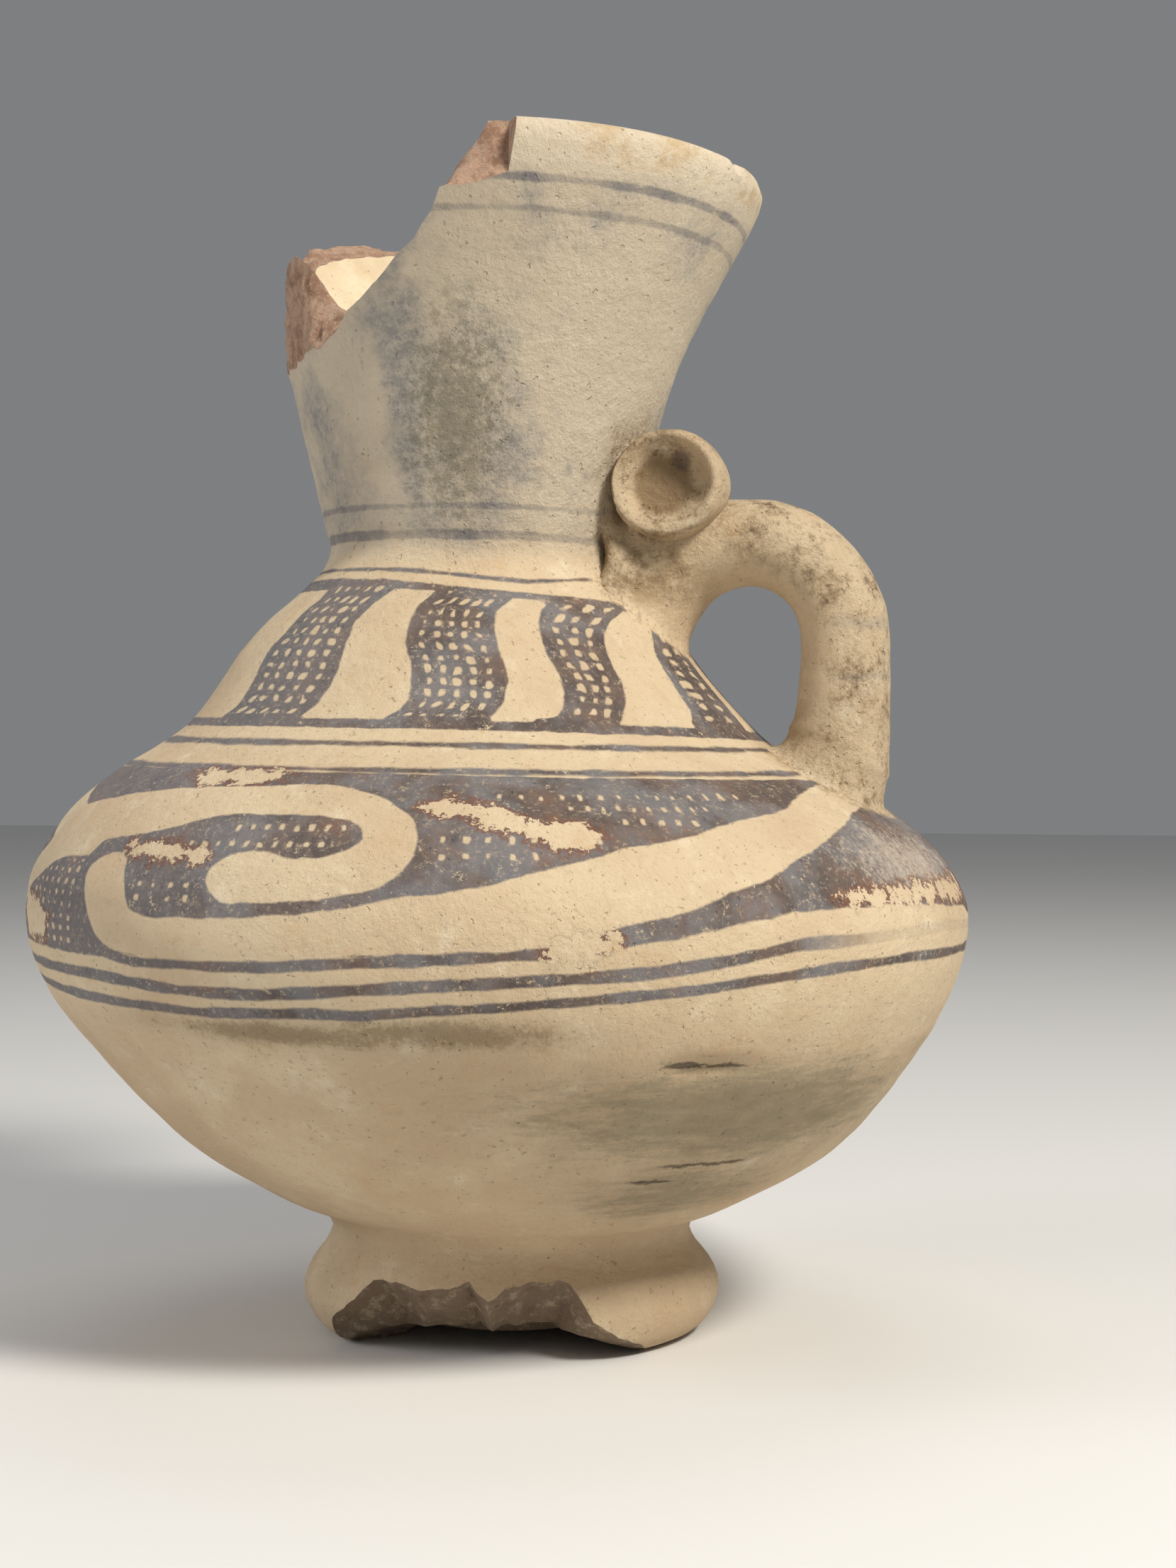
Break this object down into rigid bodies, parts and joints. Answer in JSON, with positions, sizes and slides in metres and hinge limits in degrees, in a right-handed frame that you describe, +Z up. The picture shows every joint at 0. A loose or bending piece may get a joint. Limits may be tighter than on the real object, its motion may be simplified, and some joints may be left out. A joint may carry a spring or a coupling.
{
  "type": "pottery pitcher",
  "caption": "Small hand-thrown pottery pitcher with a broken flaring neck, one loop handle with a round ear, a wide painted belly and a chipped ring foot",
  "frame": {"origin": "middle of the foot's resting face, on the surface the pitcher stands on", "axes": "+Z up along the turning axis, +X towards the handle, +Y to the left of the handle seen from above"},
  "size_m": [0.1964, 0.1964, 0.242],
  "materials": {
    "clay": "matt fired buff clay with a worn dark manganese-painted pattern, sandy deposits and rough pinkish breaks"
  },
  "bodies": {
    "root": {"pitcher": "clay"}
  },
  "joints": []
}
